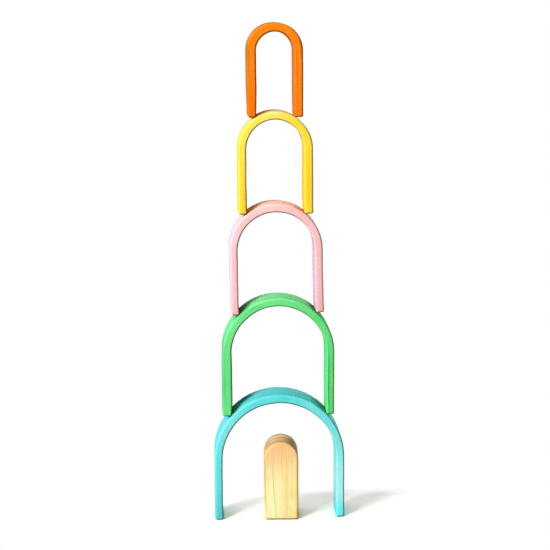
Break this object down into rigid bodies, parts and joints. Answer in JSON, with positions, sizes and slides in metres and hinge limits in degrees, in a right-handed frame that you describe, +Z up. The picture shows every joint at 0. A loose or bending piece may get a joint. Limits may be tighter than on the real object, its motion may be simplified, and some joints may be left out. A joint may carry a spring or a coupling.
{
  "type": "rainbow stacker",
  "caption": "Wooden rainbow stacker: round-topped arches with straight legs, stacked astride one another as a tower, over a plain rounded core block.",
  "frame": {"origin": "on the floor, under the middle of the whole tower", "axes": "+Z up the tower, +X to the right seen from the front, +Y through the arches, away from the viewer"},
  "size_m": [0.14, 0.0416, 0.5308],
  "materials": {
    "turquoise_stain": "matt water stain on sanded wood, grain showing",
    "green_stain": "matt water stain on sanded wood, grain showing",
    "pink_stain": "matt water stain on sanded wood, grain showing",
    "yellow_stain": "matt water stain on sanded wood, grain showing",
    "orange_stain": "matt water stain on sanded wood, grain showing",
    "natural_wood": "sanded and oiled bare wood"
  },
  "bodies": {
    "turquoise_arch": {"turquoise_arch": "turquoise_stain"},
    "green_arch": {"green_arch": "green_stain"},
    "pink_arch": {"pink_arch": "pink_stain"},
    "yellow_arch": {"yellow_arch": "yellow_stain"},
    "orange_arch": {"orange_arch": "orange_stain"},
    "natural_core": {"natural_core": "natural_wood"}
  },
  "joints": [
    {"name": "green_lift", "type": "slide", "parent": "turquoise_arch", "child": "green_arch", "axis": [0, 0, 1], "range_m": [0, 0.04]},
    {"name": "pink_lift", "type": "slide", "parent": "green_arch", "child": "pink_arch", "axis": [0, 0, 1], "range_m": [0, 0.04]},
    {"name": "yellow_lift", "type": "slide", "parent": "pink_arch", "child": "yellow_arch", "axis": [0, 0, 1], "range_m": [0, 0.04]},
    {"name": "orange_lift", "type": "slide", "parent": "yellow_arch", "child": "orange_arch", "axis": [0, 0, 1], "range_m": [0, 0.04]},
    {"name": "core_slide", "type": "slide", "parent": "turquoise_arch", "child": "natural_core", "axis": [0, -1, 0], "range_m": [-0.06, 0.06]}
  ]
}
